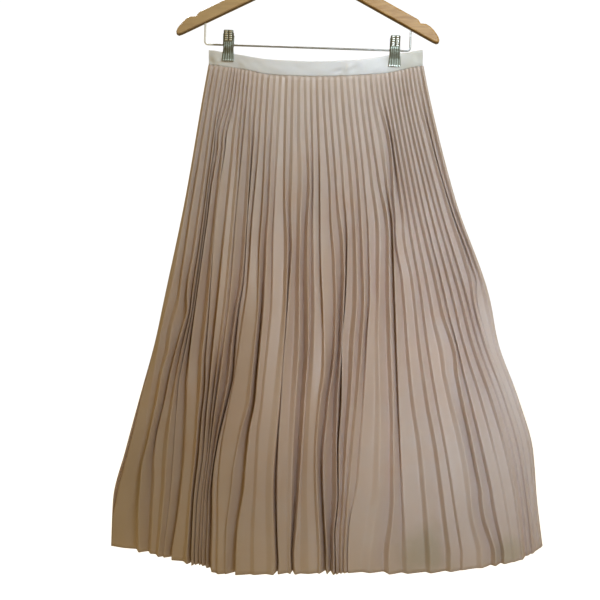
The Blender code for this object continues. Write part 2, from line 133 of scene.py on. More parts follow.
# Deep slits where a valley is pinched shut: the valley's number, which neighbour stands forward, and
# its path down the front view as height, place across and depth from 0 to 1
SLITS = (
    (5, -1, (
        (150, 217.5, 0.0), (190, 211, 0.1), (220, 208, 0.6), (250, 204, 0.8), (310, 196, 0.9),
        (345, 191, 0.6), (380, 186, 0.1),
    )),
    (7, -1, (
        (150, 226, 0.2), (190, 222, 0.7), (250, 217, 0.65), (310, 213, 0.5), (360, 209, 0.1),
    )),
    (1, +1, (
        (350, 164, 0.0), (370, 159, 0.4), (400, 155, 0.6), (430, 150, 0.9), (470, 142, 1.0),
        (497, 140, 0.9), (520, 136, 0.1),
    )),
    (2, +1, (
        (310, 187, 0.3), (340, 179, 0.5), (370, 172, 0.5), (400, 166, 0.5), (430, 159, 0.5),
        (460, 154, 0.2),
    )),
    (12, -1, (
        (140, 253, 0.3), (190, 250, 0.8), (220, 248, 1.0), (280, 244, 0.9), (310, 239, 0.8),
        (345, 235, 0.5), (375, 233, 0.5), (400, 228, 0.8), (425, 222, 0.9), (445, 218, 1.0),
        (470, 214, 0.9), (490, 212, 0.4),
    )),
    (15, -1, (
        (260, 264, 0.2), (310, 262, 0.7), (370, 258, 0.85), (400, 256, 0.9), (430, 250, 0.6),
        (470, 246, 0.1),
    )),
    (18, -1, (
        (250, 290, 0.2), (310, 287, 0.7), (370, 283, 0.85), (400, 281, 0.8), (437, 278, 0.7),
        (484, 276, 0.6), (543, 278, 0.95), (560, 279, 1.0),
    )),
    (20, +1, (
        (190, 307, 0.5), (220, 305, 0.7), (280, 303, 0.4), (340, 304, 0.5), (400, 300, 0.4),
        (520, 294, 0.5), (550, 292, 0.5),
    )),
    (23, -1, (
        (340, 332, 0.4), (370, 330, 0.8), (400, 325, 0.7), (460, 320, 0.8), (520, 323, 0.75),
        (550, 325, 0.6),
    )),
    (24, -1, (
        (270, 340, 0.5), (310, 339, 1.0), (345, 338, 0.8), (400, 333, 0.8), (450, 332, 0.5),
        (520, 330, 0.3),
    )),
    (25, -1, (
        (250, 347, 0.5), (280, 347, 0.8), (310, 346, 0.9), (340, 343, 1.0), (400, 342, 0.7),
        (450, 339, 0.8), (490, 339, 1.0), (530, 335, 0.7),
    )),
    (29, +1, (
        (240, 374, 0.5), (290, 374, 0.7), (340, 372, 0.5), (400, 372, 0.4), (470, 370, 0.4),
    )),
    (30, +1, (
        (240, 385, 0.6), (280, 385, 0.6), (340, 386, 0.5), (430, 389, 0.5), (490, 389, 0.55),
        (550, 382, 0.5),
    )),
    (31, +1, (
        (240, 393, 0.5), (310, 395, 0.5), (370, 397, 0.45), (460, 400, 0.35), (520, 402, 0.2),
    )),
    (32, +1, (
        (100, 380, 0.3), (130, 384, 0.5), (160, 388, 0.6), (190, 390, 0.7), (220, 393, 0.2),
    )),
    (33, +1, (
        (100, 387, 0.3), (130, 390, 0.7), (160, 394, 0.65), (190, 398, 0.5), (220, 401, 0.2),
    )),
    (36, +1, (
        (370, 452, 0.1), (400, 458, 0.3), (430, 465, 0.5), (460, 471, 0.5), (490, 476, 0.2),
    )),
    (42, +1, (
        (110, 424, 0.4), (160, 436, 0.8), (220, 454, 0.8), (250, 465, 0.5), (280, 475, 0.1),
    )),
)
# The same on the back, hidden from the photo: height, shift from the valley's own place, depth
BACK_SLITS = (
    (4, +1, ((290, 0.0, 0.0), (350, -1.0, 0.7), (440, 1.0, 0.9), (550, 0.0, 0.6))),
    (9, -1, ((180, 0.0, 0.0), (280, -2.0, 0.6), (400, 1.0, 0.8), (520, 0.0, 0.4))),
    (14, +1, ((220, 0.0, 0.0), (330, 2.0, 0.8), (440, -1.0, 0.9), (550, 0.0, 0.6))),
    (20, -1, ((160, 0.0, 0.0), (300, -2.0, 0.7), (400, 1.0, 0.9), (500, -1.0, 0.5), (560, 0.0, 0.3))),
    (26, +1, ((260, 0.0, 0.0), (350, 2.0, 0.8), (450, 0.0, 0.8), (560, -1.0, 0.4))),
    (31, -1, ((200, 0.0, 0.0), (300, -1.0, 0.7), (420, 1.0, 0.8), (560, 0.0, 0.4))),
    (37, +1, ((280, 0.0, 0.0), (380, 1.0, 0.8), (460, -1.0, 0.8), (550, 0.0, 0.5))),
)
# Pleats that have opened out into one wide face: first and last crease in pleat numbers, heights where
# they start to open, have opened and start to close, and the share opened. They close over CLOSE_FADE
OPEN_FACES = (
    (0.0, 1.0, 300.0, 420.0, 700.0, 0.75),
    (2.0, 3.5, 330.0, 430.0, 700.0, 0.65),
    (3.5, 5.0, 330.0, 430.0, 700.0, 0.60),
    (5.5, 6.5, 340.0, 430.0, 700.0, 0.60),
    (8.5, 10.5, 140.0, 200.0, 330.0, 0.60),
    (8.0, 12.0, 400.0, 470.0, 700.0, 0.45),
    (12.5, 14.5, 200.0, 340.0, 700.0, 0.80),
    (15.5, 17.5, 230.0, 370.0, 700.0, 0.70),
    (18.5, 19.5, 340.0, 460.0, 700.0, 0.60),
    (20.5, 22.5, 270.0, 420.0, 700.0, 0.75),
    (24.5, 26.5, 430.0, 500.0, 700.0, 0.55),
    (26.5, 28.5, 330.0, 420.0, 700.0, 0.60),
    (28.5, 29.5, 250.0, 330.0, 700.0, 0.50),
    (33.5, 35.5, 360.0, 480.0, 700.0, 0.55),
    (37.5, 39.5, 380.0, 470.0, 700.0, 0.65),
    (40.0, 42.0, 290.0, 400.0, 700.0, 0.60),
    (42.0, 44.0, 220.0, 340.0, 700.0, 0.80),
)
CLOSE_FADE = 60.0
# Each ridge leans this share of its pleat to the left low down, so one leg shows broad and one narrow
SET_LEAN = -0.24
# The hidden back opens by this share of the front
BACK_OPENED = 0.6

# Slits: how far beyond its path each fades out, how many pleats away it carries others along, how
# tightly it pinches, over how many pleats it pinches and its neighbour comes forward, and how many mm
# the one goes in and the other forward
SLIT_FADE = 60.0
SLIT_CARRY = 1.1
PINCH = 1.1
PINCH_REACH = 0.72
FORWARD_REACH = 0.6
SLIT_INWARD = 6.5
SLIT_FORWARD = 3.5
# The share of its inward push that a ridge is spared, and the share of the hollow that stays open
RIDGE_SPARED = 0.6
SLIT_HOLLOW = 0.3

# Where down the panel something sets in and over how much of its length it grows, as shares
UNEVEN_GROWTH = (0.03, 0.3)
SLIT_GROWTH = (0.04, 0.1)
HEAD_GROWTH = (0.0, 0.03)
LOW_GROWTH = (0.35, 0.5)

# Ridges: the share of their rise at the seam, their least rise as a share of the leg, how unevenly
# they rise, and the share of the rise on which a height is read
HEAD_RISE = 0.7
LEAST_RISE = 0.3
UNEVEN_RISE = 0.22
RISE_SEEN = 0.1
# Pleats beside each side seam that stay even, the jitter's share left at the seam, the drift of the
# whole cloth to and fro in mm, and its least distance in mm from the plane of the side seams
SIDE_PLEATS = 1.5
HEAD_JITTER = 0.06
DRIFT = 1.6
LEAST_OUT = 0.6
# How far a leg bows, as a share of its length, and the share by which a crease is eased to its sides
LEG_BOW = 0.035
CREASE_EASE = 0.45

# Smooth noise: how many octaves and waves in each, each octave's scale and share of the last, and
# the least and greatest rate of a wave
OCTAVES = 3
WAVES = 3
OCTAVE_SCALE = 1.7
OCTAVE_SHARE = 0.6
WAVE_RATES = (0.6, 1.3)
# Seeds for the front and the back
PLEAT_SEEDS = (10, 40)
BOW_SEEDS = (60, 70)
BAND_SEEDS = (81, 91)
# The noise of the legs' bow: radians per leg, radians per length
BOW_NOISE = (2.3, 9.0)
# What the noise of a panel moves: step on from its seed, radians per pleat, radians per length
PANEL_NOISE = {
    "jitter": (0, 2.6, 1.17),
    "rise": (1, 3.8, 4.2),
    "lean": (2, 1.7, 2.0),
    "drift": (4, 0.7, 5.0),
}

# How unevenly the pleats open: pleat number, jitter, lean, and how steep they stay high up and at the
# hem
MANNER_ROWS = (
    (0, 0.06, 0.10, 0.85, 0.75),
    (3, 0.08, 0.14, 0.85, 0.75),
    (5, 0.20, 0.25, 0.95, 0.80),
    (8, 0.28, 0.32, 1.00, 0.75),
    (16, 0.34, 0.34, 1.00, 0.85),
    (22, 0.30, 0.30, 1.00, 0.90),
    (25, 0.14, 0.20, 1.00, 0.85),
    (28, 0.12, 0.12, 0.90, 0.70),
    (36, 0.10, 0.10, 0.80, 0.60),
    (44, 0.06, 0.08, 0.80, 0.65),
)

# Soft dents and ridges of the waistband: place across, share down, half width and half height in mm,
# slant in mm across per mm down, height in mm before WRINKLE_DEPTH multiplies it
BAND_WRINKLES = (
    (338.0, 0.72, 9.0, 4.5, -0.9, -0.75),
    (347.0, 0.50, 4.5, 7.0, -0.5, 0.85),
    (354.0, 0.62, 5.0, 6.5, -0.7, -0.55),
    (362.0, 0.45, 6.0, 8.0, -0.3, 0.45),
    (318.0, 0.60, 16.0, 7.0, 0.4, 0.35),
    (296.0, 0.40, 12.0, 6.0, 0.8, -0.35),
    (276.0, 0.62, 14.0, 6.0, 0.9, 0.45),
    (258.0, 0.45, 9.0, 8.0, 0.7, -0.40),
    (243.0, 0.66, 7.0, 8.0, 0.6, 0.50),
    (230.0, 0.80, 8.0, 6.0, 0.5, -0.45),
    (216.0, 0.70, 6.0, 9.0, 0.2, 0.55),
    (211.5, 0.85, 4.0, 7.0, 0.0, -0.80),
    (376.0, 0.70, 8.0, 6.0, -0.6, 0.45),
    (390.0, 0.35, 7.0, 7.0, -0.5, -0.35),
    (404.0, 0.60, 8.0, 9.0, -0.2, 0.40),
    (417.0, 0.45, 5.0, 9.0, 0.1, -0.45),
)
WRINKLE_DEPTH = 1.8
# How far in mm the band swells out and ripples, the ripple's length across, and the power by which
# both die away at the fold and the seam
BAND_SWELL = 0.55
BAND_RIPPLE = 0.25
BAND_WAVE = 9.0
BAND_HELD_POWER = 0.6
BAND_POINTS_ACROSS = 301
# Profile round the folded strip, from the seam on the inside, over the top fold and down to the seam
# outside: share of the height, share of the wall
BAND_PROFILE = (
    (1.0, 0.04), (0.8, 0.0), (0.5, 0.0), (0.2, 0.0), (0.06, 0.04), (0.015, 0.2), (0.0, 0.5),
    (0.015, 0.8), (0.06, 0.97),
    *((0.12 + 0.06 * step, 1.0) for step in range(14)),
    (0.95, 0.98), (0.985, 0.86), (1.0, 0.62), (1.004, 0.35),
)

# The hanger's tilt in degrees, and the height of its bar in mm
HANGER_TILT = 1.9
BAR_Z = -234.3

# Clips: side, place along the bar; then a jaw's rows of height, half width, distance forward
CLIP_PLACES = (("left", -134.3), ("right", 148.6))
JAW_ROWS = (
    (-210.6, 7.2, 8.7),
    (-212.0, 8.1, 8.4),
    (-224.0, 8.1, 5.6),
    (-227.5, 8.3, 4.75),
    (-233.0, 8.5, 4.45),
    (-239.0, 8.4, 4.2),
    (-246.0, 9.1, 3.3),
    (-250.0, 9.8, 2.98),
    (-259.5, 10.4, 2.98),
    (-263.0, 10.3, 3.7),
)
JAW_POINTS_DOWN = 110
JAW_POINTS_ACROSS = 53
# Thickness of the sheet in mm
JAW_SHEET = 0.8
# Turned edges: share of the half width, mm turned in, share lost in width, and the distance forward
# at which the turn sets in and over which it grows
JAW_EDGE = 0.14
JAW_EDGE_TURN = 1.5
JAW_EDGE_NARROWING = 0.012
JAW_TURN_GROWTH = (2.7, 2.0)
# Ribs of the thumb tab: two columns, half width and soft ends as shares of the jaw's half width, and
# heights, half height and rise in mm
RIB_COLUMNS = (-0.44, 0.44)
RIB_HALF_WIDTH = 0.30
RIBS = (-213.2, -216.6, -220.0, -223.4, -226.8)
RIB_HALF_HEIGHT = 0.95
RIB_RISE = 0.75
RIB_SOFTNESS = 0.09
# Flutes: how many, rise in mm, the power of their curve, heights where they start and are full
FLUTES = 5
FLUTE_RISE = 0.42
FLUTE_POWER = 0.7
FLUTE_TOP = -228.5
FLUTE_FULL = -233.0
# The toothed lip, in mm, and how far its plating is worn and painted bright as a highlight
TEETH_TOP = -257.0
TOOTH_LENGTH = 1.3
LIP_HEIGHT = 3.0
LIP_WEAR_AND_PAINTED_LIGHT = 0.30
# The coil: radius, wire radius and half length in mm, then turns and points
SPRING_RADIUS = 2.82
SPRING_WIRE = 0.72
SPRING_HALF = 8.5
SPRING_TURNS = 8
SPRING_STEPS_A_TURN = 20
SPRING_SIDES = 8
# The spring's arms: distance from the bar's plane and height, from the tip down
SPRING_ARM = ((5.9, -216.5), (4.6, -222.0), (3.6, -227.0), (3.0, -231.0))

# Stage, in metres
FLOOR_HALF = 9.0
FLOOR_LEVEL = -1.62

# Satin of the skirt, then of the band: lighter and darker colour, then stains as place and size in
# metres and tint. The last of the skirt's is a pinker tint over its middle, and the band's are painted
# shade, darker and warmer at its ends where the clips and its turn away shade it
SATIN_COLOURS = ((0.565, 0.455, 0.400), (0.495, 0.392, 0.340))
SATIN_STAINS = (
    ((0.19, -0.05, -1.085), 0.060, (0.78, 0.83, 0.74)),
    ((0.328, -0.04, -1.085), 0.034, (0.80, 0.85, 0.77)),
    ((0.235, -0.04, -0.60), 0.018, (0.82, 0.88, 0.80)),
    ((-0.01, -0.04, -0.74), 0.36, (1.0, 0.91, 0.83)),
)
# The band is the skirt's satin painted paler and cooler, as painted sheen where it lies flat in the light
BAND_COLOURS_WITH_PAINTED_SHEEN = ((0.71, 0.71, 0.735), (0.645, 0.635, 0.655))
BAND_END_SHADE = (
    ((0.182, 0.0, -0.255), 0.07, (0.84, 0.82, 0.74)),
    ((-0.175, 0.0, -0.255), 0.06, (0.90, 0.87, 0.80)),
)

# Light: the room's own colour and strength, its shares below and above with the heights of the sky
# between which it changes, and the white wall that the camera sees; then each soft box by name, place,
# target, size, spread in degrees, watts and colour
ROOM_COLOUR = (1.0, 0.73, 0.27)
ROOM_STRENGTH = 0.345
ROOM_SHARES = (0.05, 1.30)
ROOM_HEIGHTS = (-0.8, 0.3)
WALL_STRENGTH = 1.05
LAMPS = (
    ("near window", (0.52, -1.30, -0.50), (0.38, 0.0, -0.80), 0.6, 41.0, 1.32, (0.61, 0.77, 0.98)),
    ("above", (0.54, -1.10, 0.50), (0.15, 0.0, -0.22), 0.4, 54.0, 1.74, (0.83, 1.02, 1.18)),
    ("behind", (-0.40, 1.60, 0.50), (-0.02, 0.0, -0.66), 0.8, 80.0, 6.0, (0.78, 0.82, 0.95)),
)


def smooth_through(xs, ys, at):
    """The values at `at` of a curve through the points (xs, ys) that never overshoots them."""
    xs = np.asarray(xs, float)
    ys = np.asarray(ys, float)
    step = np.diff(xs)
    slope = np.diff(ys) / step
    tangent = np.zeros(len(xs))
    for i in range(1, len(xs) - 1):
        if slope[i - 1] * slope[i] > 0.0:
            before = 2.0 * step[i] + step[i - 1]
            after = step[i] + 2.0 * step[i - 1]
            tangent[i] = (before + after) / (before / slope[i - 1] + after / slope[i])
    tangent[0] = slope[0]
    tangent[-1] = slope[-1]
    at = np.clip(np.asarray(at, float), xs[0], xs[-1])
    i = np.clip(np.searchsorted(xs, at, side="right") - 1, 0, len(step) - 1)
    t = (at - xs[i]) / step[i]
    return (
        (1.0 + 2.0 * t) * (1.0 - t) ** 2 * ys[i]
        + t * (1.0 - t) ** 2 * step[i] * tangent[i]
        + t * t * (3.0 - 2.0 * t) * ys[i + 1]
        + t * t * (t - 1.0) * step[i] * tangent[i + 1]
    )


def ease(value):
    """A smooth step from 0 to 1."""
    value = np.clip(value, 0.0, 1.0)
    return value * value * (3.0 - 2.0 * value)


def growth(share, start_and_length):
    """0 to 1 over one stretch of the panel's length."""
    start, length = start_and_length
    return ease((share - start) / length)


def across(place):
    """X in mm of a place across the front view."""
    return (np.asarray(place, float) - ORIGIN_ACROSS) * UNIT


def down(place, forward=0.0):
    """Z in mm of a height on the front view, for a point that stands forward of the middle plane."""
    nearer = (EYE_DISTANCE - forward) / EYE_DISTANCE
    return -((EYE_DOWN - ORIGIN_DOWN) + (np.asarray(place, float) - EYE_DOWN) * nearer) * UNIT


def wander(seed, a, b, per_a, per_b):
    """Smooth seeded noise of about -1 to 1 over two coordinates."""
    rng = np.random.default_rng(seed)
    total = np.zeros(np.broadcast(a, b).shape)
    weight = 0.0
    for k in range(OCTAVES):
        scale = OCTAVE_SCALE**k
        share = OCTAVE_SHARE**k
        for _ in range(WAVES):
            turn = rng.uniform(0, 2 * math.pi)
            pa = scale * per_a * rng.uniform(*WAVE_RATES) * rng.choice((-1, 1))
            pb = scale * per_b * rng.uniform(*WAVE_RATES)
            total = total + share * np.sin(pa * a + pb * b + turn)
            weight += share * 0.5
    return total / weight


def tilted(points):
    """Points turned with the hanger about the mount."""
    angle = math.radians(HANGER_TILT)
    x, y, z = np.asarray(points, float).T
    return np.stack(
        [x * math.cos(angle) + z * math.sin(angle), y, z * math.cos(angle) - x * math.sin(angle)],
        axis=1,
    )


def grid_faces(rows, columns, back, closed=False):
    """Quads of a grid of points, turned over on the back. Closed joins the last row to the first."""
    faces = []
    for r in range(rows if closed else rows - 1):
        below = (r + 1) % rows
        for c in range(columns - 1):
            a = r * columns + c
            b = below * columns + c
            quad = (a, b, b + 1, a + 1)
            faces.append(tuple(reversed(quad)) if back else quad)
    return faces


def thicken(piece, name, thickness):
    made = piece.modifiers.new(name, "SOLIDIFY")
    made.thickness = thickness * MM
    made.offset = 0.0


def mesh_piece(name, points, faces, material, replaced):
    """A smooth mesh in place of the CAD nodes named in replaced."""
    mesh = bpy.data.meshes.new(name)
    mesh.from_pydata((np.asarray(points) * MM).tolist(), [], [tuple(f) for f in faces])
    mesh.validate()
    mesh.update()
    mesh.materials.append(material)
    mesh.shade_smooth()
    made = bpy.data.objects.new(name, mesh)
    bpy.context.scene.collection.objects.link(made)
    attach(made, "root")
    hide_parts(*replaced)
    return made


# Materials


def new_material(name):
    made = bpy.data.materials.new(name)
    made.use_nodes = True
    tree = made.node_tree
    return made, tree, tree.nodes["Principled BSDF"]


def solid(colour):
    return (*colour, 1.0)


def node(tree, kind, inputs=(), **settings):
    """A new node. Each of its inputs takes another node's output, or a value."""
    made = tree.nodes.new(kind)
    for key, value in settings.items():
        setattr(made, key, value)
    feed(tree, made, inputs)
    return made


def feed(tree, fed, inputs):
    for key, value in dict(inputs).items():
        if isinstance(value, bpy.types.NodeSocket):
            tree.links.new(value, fed.inputs[key])
        else:
            fed.inputs[key].default_value = value


def object_place(tree):
    return node(tree, "ShaderNodeTexCoord").outputs["Object"]


def one_axis(tree, vector, axis):
    return node(tree, "ShaderNodeSeparateXYZ", {"Vector": vector}).outputs[axis]


def stretched(tree, place, scale):
    return node(tree, "ShaderNodeMapping", {"Vector": place, "Scale": scale}).outputs["Vector"]


def noise(tree, place, scale, detail=2.0, distortion=0.0):
    inputs = {"Vector": place, "Scale": scale, "Detail": detail, "Distortion": distortion}
    return node(tree, "ShaderNodeTexNoise", inputs).outputs["Fac"]


def ranged(tree, value, before, after=(0.0, 1.0), interpolation="LINEAR"):
    """The value moved from one range to another, and held inside it."""
    inputs = {
        "Value": value,
        "From Min": before[0],
        "From Max": before[1],
        "To Min": after[0],
        "To Max": after[1],
    }
    return node(tree, "ShaderNodeMapRange", inputs, interpolation_type=interpolation).outputs["Result"]


def blend(tree, share, first, second, kind="MIX"):
    inputs = {"Factor": share, "A": first, "B": second}
    return node(tree, "ShaderNodeMix", inputs, data_type="RGBA", blend_type=kind).outputs["Result"]


def bump(tree, height, strength, distance, below=None):
    inputs = {"Height": height, "Strength": strength, "Distance": distance}
    if below:
        inputs["Normal"] = below
    return node(tree, "ShaderNodeBump", inputs).outputs["Normal"]


def stain_and_shade_patch(tree, place, colour, where, size, tint):
    """The colour with an uneven round patch at one place, used for stains and for painted shade."""
    away = node(tree, "ShaderNodeVectorMath", {0: place, 1: where}, operation="DISTANCE")
    edge = noise(tree, place, scale=28.0)
    wobble = node(tree, "ShaderNodeMath", operation="MULTIPLY_ADD")
    feed(tree, wobble, {0: edge, 1: size * 0.8, 2: away.outputs["Value"]})
    fade = ranged(tree, wobble.outputs["Value"], (size * 1.5, size * 0.7), interpolation="SMOOTHSTEP")
    return blend(tree, fade, colour, solid(tint), "MULTIPLY")


CLOTH_SHADER = {
    "Sheen Weight": 0.15,
    "Sheen Tint": (1.0, 0.66, 0.50, 1.0),
    "Sheen Roughness": 0.4,
    "Specular Tint": (1.0, 0.86, 0.78, 1.0),
    "Subsurface Weight": 0.4,
    "Subsurface Radius": (1.0, 0.85, 0.7),
    "Subsurface Scale": 0.003,
}


def cloth_material(name, light, dark, roughness, gloss_share, stains_and_shade):
    """Satin: each stain, and each patch of painted shade, is its place, size and tint."""
    made, tree, shader = new_material(name)
    place = object_place(tree)
    broad = noise(tree, place, scale=5.0, detail=4.0)
    colour = blend(tree, ranged(tree, broad, (0.32, 0.68)), solid(dark), solid(light))
    for where, size, tint in stains_and_shade:
        colour = stain_and_shade_patch(tree, place, colour, where, size, tint)
    # Fine satin weave: long floats down the cloth, seen as a faint streak in gloss and height
    weave = noise(tree, stretched(tree, place, (900.0, 900.0, 120.0)), scale=1.0)
    crinkle = noise(tree, place, scale=42.0, detail=3.0)
    soft = bump(tree, crinkle, strength=0.25, distance=0.0012)
    fine = bump(tree, weave, strength=0.2, distance=0.0002, below=soft)
    feed(tree, shader, CLOTH_SHADER)
    feed(tree, shader, {
        "Base Color": colour,
        "Roughness": ranged(tree, weave, (0.0, 1.0), (roughness - 0.06, roughness + 0.08)),
        "Normal": fine,
        "Specular IOR Level": gloss_share,
    })
    return made


def wood_material():
    """Honey lacquer on straight grain, with painted light paling the left arm and painted shade darkening
    the faces that point down.
    """
    made, tree, shader = new_material("honey_wood")
    place = object_place(tree)
    grain = noise(tree, stretched(tree, place, (14.0, 90.0, 90.0)), scale=1.6, detail=6.0, distortion=0.6)
    ramp = node(tree, "ShaderNodeValToRGB", {"Fac": grain})
    ends = ramp.color_ramp.elements
    for end, position, colour in zip(ends, (0.3, 0.72), ((0.34, 0.165, 0.042), (0.52, 0.295, 0.088))):
        end.position = position
        end.color = solid(colour)
    # Painted light: the left arm is painted paler, as if lit from that side
    to_left = ranged(tree, one_axis(tree, place, "X"), (0.05, -0.16))
    wear_and_painted_light = node(tree, "ShaderNodeMath", {0: to_left, 1: 0.6}, operation="MULTIPLY")
    left_arm_painted_lit = blend(tree, wear_and_painted_light.outputs["Value"], ramp.outputs["Color"], solid((0.56, 0.42, 0.25)))
    # Painted shade: the lower edge, where the faces point down, is darkened as if in shadow
    facing = node(tree, "ShaderNodeNewGeometry").outputs["Normal"]
    downward_shade_share = ranged(tree, one_axis(tree, facing, "Z"), (-0.25, -0.7))
    shade_painted_under = blend(tree, downward_shade_share, left_arm_painted_lit, solid((0.30, 0.24, 0.20)), "MULTIPLY")
    feed(tree, shader, {
        "Base Color": shade_painted_under,
        "Roughness": ranged(tree, grain, (0.0, 1.0), (0.24, 0.4)),
        "Normal": bump(tree, grain, strength=0.15, distance=0.0004),
        "Coat Weight": 0.35,
        "Coat Roughness": 0.2,
    })
    return made


def steel_material(name, colour, roughness, wear_and_painted_light_colour=None, pale_from=None):
    """Plated steel with fine spotting.

    Where the mesh's wear value is high the plating is rubbed and painted bright as a highlight, and
    further than `pale_from` from the middle the wire is still new.
    """
    made, tree, shader = new_material(name)
    place = object_place(tree)
    spots = noise(tree, place, scale=160.0, detail=4.0)
    dark = solid([0.82 * c for c in colour])
    bright = solid([min(1.0, 1.12 * c) for c in colour])
    surface = blend(tree, spots, dark, bright)
    metallic = 1.0
    if wear_and_painted_light_colour:
        wear_and_painted_light = node(tree, "ShaderNodeAttribute", attribute_name="wear_and_painted_light")
        surface = blend(tree, wear_and_painted_light.outputs["Fac"], surface, solid(wear_and_painted_light_colour))
    if pale_from:
        outward = node(tree, "ShaderNodeMath", {0: one_axis(tree, place, "X")}, operation="ABSOLUTE")
        fade = ranged(tree, outward.outputs["Value"], (pale_from, pale_from + 0.006))
        surface = blend(tree, fade, surface, solid((0.93, 0.94, 0.93)))
        metallic = ranged(tree, fade, (0.0, 1.0), (1.0, 0.25))
    feed(tree, shader, {
        "Base Color": surface,
        "Roughness": ranged(tree, spots, (0.0, 1.0), (roughness - 0.08, roughness + 0.12)),
        "Metallic": metallic,
    })
    return made


# Pleated panels


def pleat_places(numbers, heights, back):
    """Places across of numbered creases at their heights. The back is the front mirrored."""
    rows = np.array(PLEAT_ROWS, float)
    at = np.stack([smooth_through(rows[:, 0], column, heights) for column in rows[:, 1:].T], axis=1)
    if back:
        numbers = PLEATS - np.asarray(numbers, float)
    places = np.array([smooth_through(PLEAT_COLUMNS, line, number) for line, number in zip(at, numbers)])
    return at[:, 0] + at[:, -1] - places if back else places


def fold_push(numbers, share, back):
    """How far in mm the broad folds stand forward at one share of the length."""
    total = np.zeros(len(numbers))
    for middle, half, start, full, push in FOLD_ROWS:
        if back:
            middle = PLEATS - middle
        amount = push * ease((share - start) / (full - start))
        total += amount * np.exp(-(((numbers - middle) / half) ** 2))
    return total


def half_hollow(numbers, share, heads, back):
    """How far the valleys stand from the middle plane, in mm."""
    side = np.abs(2.0 * numbers / PLEATS - 1.0)
    plain = smooth_through(*np.transpose(HOLLOW_ROWS), share) * (1.0 - side**HOLLOW_SIDE_POWER)
    folded = plain + np.minimum(1.0, plain / FOLD_ROOM) * fold_push(numbers, share, back)
    below = np.maximum(folded, LEAST_HOLLOW * plain)
    taken_over = ease(share / WAIST_FADE)
    return heads * (1.0 - taken_over) + below * taken_over


def slit_rows(slits, heights, places, back):
    """Each slit's shift at its own valley, and its depth, for one row of creases."""
    shifts = []
    depths = []
    for valley, _, path in slits:
        path = np.array(path, float)
        height = heights[2 * valley]
        from_above = ease((height - path[0, 0]) / SLIT_FADE + 1.0)
        from_below = ease((path[-1, 0] - height) / SLIT_FADE + 1.0)
        held = from_above * from_below
        shift = smooth_through(path[:, 0], path[:, 1], height)
        if not back:
            shift = shift - places[2 * valley]
        shifts.append(float(shift * held))
        depths.append(float(smooth_through(path[:, 0], path[:, 2], height) * held))
    return np.array(shifts), np.array(depths)


def pinch_slits(numbers, places, slits, depths):
    """Draws the pleats at each slit together. Also says how far each crease goes in and forward."""
    inward = np.zeros(len(numbers))
    forward = np.zeros(len(numbers))
    for (valley, side, _), depth in zip(slits, depths):
        beside = numbers - valley
        near = np.exp(-((beside / PINCH_REACH) ** 2))
        places = places - PINCH * depth * near * (places - places[2 * valley])
        inward += SLIT_INWARD * depth * near
        forward += SLIT_FORWARD * depth * np.exp(-(((beside - 0.5 * side) / FORWARD_REACH) ** 2))
    return places, inward, forward


def mirrored_faces():
    """The opened faces of the back, which opens less than the front."""
    mirrored = []
    for first, last, *heights, opened in OPEN_FACES:
        mirrored.append((PLEATS - last, PLEATS - first, *heights, BACK_OPENED * opened))
    return mirrored


def open_faces(y, places, heights, faces):
    """Flattens, in y itself, each run of pleats that has opened into one face."""
    for first, last, start, opened, close, amount in faces:
        a = int(2 * first)
        b = int(2 * last)
        height = heights[(a + b) // 2]
        amount *= ease((height - start) / (opened - start)) * ease((close - height) / CLOSE_FADE + 1.0)
        along = (places[a : b + 1] - places[a]) / (places[b] - places[a])
        flat = y[a] + (y[b] - y[a]) * along
        y[a : b + 1] += amount * (flat - y[a : b + 1])


def panel_noise(moved, numbers, share, back):
    step, per_pleat, per_length = PANEL_NOISE[moved]
    return wander(PLEAT_SEEDS[back] + step, numbers, share, per_pleat, per_length)


